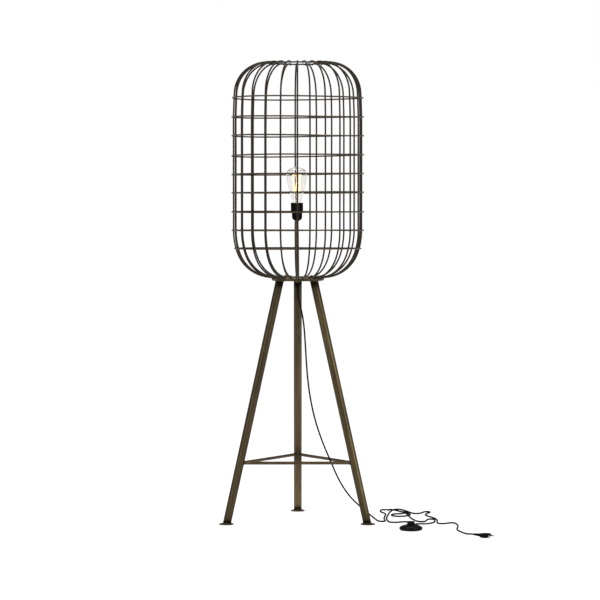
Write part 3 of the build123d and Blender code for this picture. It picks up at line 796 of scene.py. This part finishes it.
# the cap's contact and its shoulder, its side, and its inside
bulbCapLine = [(2.6, 945.0), (4.6, 945.6), (5.4, 947.4), (6.0, 947.8), (10.6, 951.0), (12.0, 952.4)]
bulbCapLine += [(bulb["capRadius"], bulb["capLow"] + bulb["capStep"] * k) for k in range(bulb["capSteps"])]
bulbCapLine += [(12.9, 971.0), (12.5, 971.0), (12.4, 955.0), (11.0, 953.5), (2.6, 953.0)]
newPiece("bulbCap", [spun(bulbCapLine, 56)], brass, body="bulb", nodes=["bulb_cap"])

mountLook = {
    "broad": 80, "fine": 300, "colours": [(0.3, (0.86, 0.80, 0.66)), (0.7, (0.95, 0.90, 0.78))],
    "roughness": (0.05, 0.12), "bump": 0.1, "depth": 0.0002,
    "shader": {"Transmission Weight": 0.35, "IOR": 1.15},
}
mountGlass = surface("mountGlass", mountLook)
newPiece("bulbMount", [spun(softCurve(bulb["mount"], 3), 20)], mountGlass, body="bulb",
         nodes=["bulb_mount"])

strands = {
    "count": 6, "radius": 1.2, "low": 1009.0, "rise": 51.0, "reach": 10.3, "spread": 1.0, "bow": 0.5,
    "steps": 8, "lowTurn": 10, "highTurn": 40, "glow": 1.9, "hook": 0.3, "lead": 0.35,
    # turn, height, reach, how much higher the hub is
    "spiders": ((10, 1008.4, 10.3, 0.0), (40, 1060.6, 11.3, 0.3)),
}
strandGlow, glowTree, glowShader = newMaterial("glowingStrands")
glowPlace = addNode(glowTree, "TexCoord").outputs["Object"]
glowNoise = addNode(glowTree, "TexNoise", {"Vector": glowPlace, "Scale": 60}).outputs["Fac"]
feed(glowTree, glowShader, {
    "Base Color": (0.9, 0.55, 0.2, 1), "Roughness": 0.6, "Emission Strength": strands["glow"],
    "Emission Color": colourRamp(glowTree, glowNoise, [(0.3, (1.0, 0.62, 0.24)), (0.7, (1.0, 0.84, 0.50))])})
supportLook = {
    "broad": 90, "fine": 500, "colours": [(0.3, (0.52, 0.46, 0.36)), (0.7, (0.66, 0.60, 0.48))],
    "roughness": (0.3, 0.45), "bump": 0.1, "depth": 0.0001, "shader": {"Metallic": 1.0},
}
supportWire = surface("supportWire", supportLook)

parts = []
for k in range(strands["count"]):
    low, high = radians(60 * k + strands["lowTurn"]), radians(60 * k + strands["highTurn"])
    line = []
    for step in range(strands["steps"] + 1):
        share = step / strands["steps"]
        reach = strands["reach"] + share * strands["spread"] + strands["bow"] * sin(pi * share)
        line.append(aroundAxis(reach, low + (high - low) * share, strands["low"] + strands["rise"] * share))
    parts.append(pipe(line, strands["radius"] * mm, 8))
newPiece("glowStrands", parts, strandGlow, body="bulb", nodes=["filament"])
parts = []
for angle, height, reach, hub in strands["spiders"]:
    for k in range(strands["count"]):
        turn = radians(60 * k + angle)
        hook = [aroundAxis(1.0, turn, height + hub), aroundAxis(reach * 0.6, turn, height + 0.4),
                aroundAxis(reach, turn, height)]
        parts.append(pipe(hook, strands["hook"] * mm, 6))
for turn in (radians(20), radians(200)):  # the two wires that come up out of the glass mount
    lead = [aroundAxis(2.2, turn, 990), aroundAxis(4.6, turn, 1000), aroundAxis(10.2, turn - 0.1, 1009)]
    parts.append(pipe(lead, strands["lead"] * mm, 6))
newPiece("filamentSupports", parts, supportWire, body="bulb")

# the stem stands a hair off plumb to the left, with what it carries
plumb = {"from": 0.740, "slope": 0.0115}
for name in ("stemTube", "stemNuts", "holderCap", "holderShell", "holderInsert", "bulbGlass", "bulbCap",
             "bulbMount", "glowStrands", "filamentSupports"):
    for vertex in bpy.data.objects[name].data.vertices:
        vertex.co.x -= max(0.0, vertex.co.z - plumb["from"]) * plumb["slope"]
print("holder and bulb made")


# cord grip under the plate: ribbed, wider towards its top

rubberLook = {
    "broad": 120, "fine": 800, "colours": [(0.3, (0.0035, 0.0035, 0.0036)), (0.7, (0.0070, 0.0070, 0.0072))],
    "roughness": (0.42, 0.58), "bump": 0.3, "depth": 0.0002,
    "shader": {"Specular IOR Level": 0.0, "Coat Weight": 0.06, "Coat Roughness": 0.35},
}
rubberBlack = surface("blackRubber", rubberLook)
grip = {"ribs": 6, "low": 711.0, "pitch": 2.6, "radius": 3.7, "grow": 0.28, "groove": 0.45}
gripLine = [(2.4, 710.0), (3.3, 710.0), (3.6, 710.4)]
for k in range(grip["ribs"]):
    low, size = grip["low"] + grip["pitch"] * k, grip["radius"] + grip["grow"] * k
    groove = size - grip["groove"]
    gripLine += [(size, low), (size, low + 1.5), (groove, low + 1.8), (groove, low + 2.3)]
gripLine += [(5.5, 726.8), (5.6, 728.0), (5.6, 729.6), (5.2, 730.0)]
newPiece("cordGrip", [spun(gripLine, 32)], rubberBlack, nodes=["cord_grip"])


# foot switch: a smooth round pebble with a push button and two cord entries

switch = {
    "right": 337.0, "away": -273.0, "voxel": 0.0009, "easeSteps": 6, "entryGap": 22.0,
    "reliefStart": 35.0, "relief": 20.0, "reliefRadius": 4.9, "reliefTaper": 1.5, "ribs": 7, "ribPitch": 2.7,
    "cover": [(26.0, 0.1), (29.6, 0.8), (32.9, 2.8), (34.7, 5.6), (34.9, 7.8), (34.2, 9.8), (32.0, 11.8),
              (28.6, 13.8), (24.0, 15.6), (19.0, 17.0), (15.4, 18.0), (13.4, 18.5)],
    "recess": [(12.7, 18.2), (12.4, 17.2), (12.4, 8.4), (0.3, 8.4)],
    "entry": ((22, 5.2), (28, 5.1), (33, 4.9), (35, 4.6)),  # distance from the switch's middle, radius
    "base": [(0.4, 0), (24.2, 0), (24.7, 0.4), (24.8, 1.0), (24.8, 3.0), (0.4, 3.0)],
    "button": [(0.3, 15.6), (11.3, 15.6), (11.5, 15.9), (11.5, 24.6), (11.35, 25.9), (10.8, 27.0),
               (9.8, 27.7), (8.4, 28.0), (6.2, 27.7), (3.2, 27.4), (0.3, 27.3)],
}
switchPlace = onAxis(switch["right"], switch["away"], 0)
switchLook = {
    "broad": 60, "fine": 1400, "colours": [(0.3, (0.0040, 0.0040, 0.0042)), (0.7, (0.0080, 0.0080, 0.0083))],
    "roughness": (0.32, 0.44), "bump": 0.12, "depth": 0.00015,
    "shader": {"Specular IOR Level": 0.0, "Coat Weight": 0.14, "Coat Roughness": 0.16},
}
switchBlack = surface("switchBlack", switchLook)


def alongCord(side, sizes, domes):
    # a round form on one of the switch's two cords, from (distance behind the switch's middle, radius)
    start = onAxis(switch["right"] + side * switch["entryGap"] / 2, switch["away"], entryZ)
    points = [start + Vector((0, distance * mm, 0)) for distance, size in sizes]
    return pipe(points, [size * mm for distance, size in sizes], 24, domes=domes)


coverLine = [(0.3, 0.1)] + softCurve(switch["cover"], 4) + switch["recess"]
coverParts = [spun(coverLine, 96, switchPlace)] + [alongCord(side, switch["entry"], True) for side in (-1, 1)]
cover = newPiece("switchCover", coverParts, switchBlack, nodes=["switch_cover"])
remesh = cover.modifiers.new("blendEntries", "REMESH")  # the entries flow into the cover
remesh.mode = "VOXEL"
remesh.voxel_size = switch["voxel"]
remesh.use_smooth_shade = True
ease = cover.modifiers.new("ease", "SMOOTH")
ease.factor = 0.5
ease.iterations = switch["easeSteps"]
bpy.context.view_layer.update()
settled = bpy.data.meshes.new_from_object(cover.evaluated_get(bpy.context.evaluated_depsgraph_get()))
cover.modifiers.clear()
cover.data = settled
shadeSmooth(settled)

reliefSizes = []
for k in range(switch["ribs"]):
    gone = switch["ribPitch"] * k + 1
    size = switch["reliefRadius"] - switch["reliefTaper"] * gone / switch["relief"]
    for step, grow in ((0, 1.0), (1.6, 0.97), (1.9, 0.86), (2.4, 0.86)):  # a rib and the groove after it
        reliefSizes.append((switch["reliefStart"] + gone + step, size * grow))
reliefs = [alongCord(side, reliefSizes, False) for side in (-1, 1)]
switchReliefs = newPiece("switchReliefs", reliefs, rubberBlack)
switchBase = newPiece("switchBase", [spun(switch["base"], 64, switchPlace)], rubberBlack,
                      nodes=["switch_base"])
button = newPiece("switchButton", [spun(switch["button"], 56, switchPlace)], switchBlack,
                  body="button", nodes=["switch_button"])
print("switch made")


# plug: flat moulded body with two round pins

plug = {
    "right": 515.0, "away": -423.0, "way": (12.0, -11.0), "length": 52.0, "pinGap": 18.6,
    "ribs": 6, "ribPitch": 3.1, "ribWidth": 6.7, "ribGrow": 0.45,
    # distance from the cord, width, thickness, squareness
    "body": [(20.0, 9.6, 8.4, 2.2), (23.0, 12.2, 9.6, 2.3), (27.0, 17.6, 11.2, 2.5), (31.0, 24.4, 12.7, 2.8),
             (34.5, 30.6, 13.5, 3.0), (38.0, 34.2, 13.7, 3.2), (42.0, 35.2, 13.7, 3.4),
             (49.6, 35.2, 13.7, 3.6), (51.0, 34.8, 13.4, 3.6), (51.8, 33.8, 12.6, 3.6),
             (52.0, 32.4, 11.4, 3.6)],
    # distance from the body's end, radius
    "sleeve": ((-0.5, 2.0), (4, 2.0), (8, 2.0), (9.6, 1.98), (10, 1.9)),
    "pin": ((9.5, 1.95), (12, 1.95), (15, 1.95), (17.4, 1.95), (18.2, 1.75), (18.7, 1.2), (18.9, 0.5)),
}
plugStart = onAxis(plug["right"], plug["away"], plugZ)
plugWay = Vector((*plug["way"], 0)).normalized()
plugAcross = Vector((-plugWay.y, plugWay.x, 0))


def bulge(value, square):
    # a round section pushed out towards a square one
    return abs(value) ** (2 / square) * (1 if value >= 0 else -1)


def loft(sections, sides=48):
    # rounded sections along the plug
    verts = []
    for distance, width, thick, square in sections:
        for turn in fullTurn(sides):
            x = bulge(cos(turn), square) * width / 2
            y = bulge(sin(turn), square) * thick / 2
            verts.append(plugStart + plugWay * distance * mm + plugAcross * x * mm + upward * y * mm)
    return verts, skin(len(sections), sides, ends=True)


def plugPin(side, sizes):
    root = plugStart + plugWay * plug["length"] * mm + plugAcross * (side * plug["pinGap"] / 2 * mm)
    points = [root + plugWay * distance * mm for distance, size in sizes]
    return pipe(points, [size * mm for distance, size in sizes], 20, domes=False)


sections = [(0.0, 6.2, 5.6, 2), (0.3, 6.6, 6.0, 2)]
for k in range(plug["ribs"]):
    low, wide = 1.0 + plug["ribPitch"] * k, plug["ribWidth"] + plug["ribGrow"] * k
    sections += [(low, wide, wide - 0.5, 2), (low + 1.8, wide + 0.2, wide - 0.3, 2),
                 (low + 2.1, wide - 0.7, wide - 1.2, 2), (low + 2.8, wide - 0.6, wide - 1.1, 2)]
plugBody = newPiece("plugBody", [loft(sections + plug["body"])], rubberBlack,
                    nodes=["plug_body"])
pinLook = {
    "broad": 200, "fine": 900, "colours": [(0.3, (0.46, 0.44, 0.40)), (0.7, (0.58, 0.56, 0.52))],
    "roughness": (0.2, 0.34), "bump": 0.15, "depth": 0.0001, "shader": {"Metallic": 1.0},
}
pinMetal = surface("pinNickel", pinLook)
pins = [plugPin(side, plug["pin"]) for side in (-1, 1)]
plugPins = newPiece("plugPins", pins, pinMetal, nodes=["plug_pins"])
sleeves = [plugPin(side, plug["sleeve"]) for side in (-1, 1)]
pinSleeves = newPiece("pinSleeves", sleeves, rubberBlack)
print("plug made")


# floor, world and lamps

studio = {
    "floorReach": 400.0, "floorWhite": 0.30, "floorGlow": 0.88, "floorUnseen": 0.2, "world": 0.5,
    "aim": (0, 0, 0.7),
    # place, size and power
    "keyLamp": ((-2.6, -3.2, 2.6), (1.6, 2.2), 75.0),
    "fillLamp": ((3.0, -2.6, 2.0), (1.4, 2.2), 85.0),
    "topLamp": ((0, 0.6, 4.2), (2.4, 2.4), 60.0),
}


def whereSeen(tree, rays, unseen, shown):
    # one level where these rays see it, such as the camera's own, and another for the light that it gives
    path = addNode(tree, "LightPath")
    seen = path.outputs[f"Is {rays[0]} Ray"]
    for ray in rays[1:]:
        either = addNode(tree, "Math", {0: seen, 1: path.outputs[f"Is {ray} Ray"]}, operation="MAXIMUM")
        seen = either.outputs[0]
    return addNode(tree, "MapRange", {"Value": seen, "To Min": unseen, "To Max": shown}).outputs["Result"]


floorMaterial, floorTree, floorShader = newMaterial("paleFloor")
# the plain shader takes the lamp's shadow, the glow on top of it makes the floor white
feed(floorTree, floorShader, {
    "Base Color": (*[studio["floorWhite"]] * 3, 1), "Roughness": 0.9, "Specular IOR Level": 0.0})
floorRays = ("Camera", "Glossy", "Transmission")
floorLevel = whereSeen(floorTree, floorRays, studio["floorUnseen"], studio["floorGlow"])
floorGlow = addNode(floorTree, "Emission", {"Strength": floorLevel})
floorSum = addNode(floorTree, "AddShader", {0: floorShader.outputs["BSDF"], 1: floorGlow.outputs["Emission"]})
feed(floorTree, floorTree.nodes["Material Output"], {"Surface": floorSum.outputs["Shader"]})
reach = studio["floorReach"]
corners = [(-reach, -reach, 0), (reach, -reach, 0), (reach, reach, 0), (-reach, reach, 0)]
floor = placed("floor", meshOf("floor", [(corners, [(0, 1, 2, 3)])]))
floor.data.materials.append(floorMaterial)

world = bpy.data.worlds.new("studio")
bpy.context.scene.world = world
world.use_nodes = True
worldLevel = whereSeen(world.node_tree, ("Camera", "Transmission"), studio["world"], 1.0)
feed(world.node_tree, world.node_tree.nodes["Background"], {"Color": (1, 1, 1, 1), "Strength": worldLevel})

for name in ("keyLamp", "fillLamp", "topLamp"):
    place, size, power = studio[name]
    lamp = placed(name, bpy.data.lights.new(name, "AREA"))
    lamp.data.shape = "RECTANGLE"
    lamp.data.size, lamp.data.size_y = size
    lamp.data.energy = power
    lamp.location = place
    aimAt(lamp, studio["aim"])
bpy.context.scene.view_settings.view_transform = "Standard"
print("studio lit")
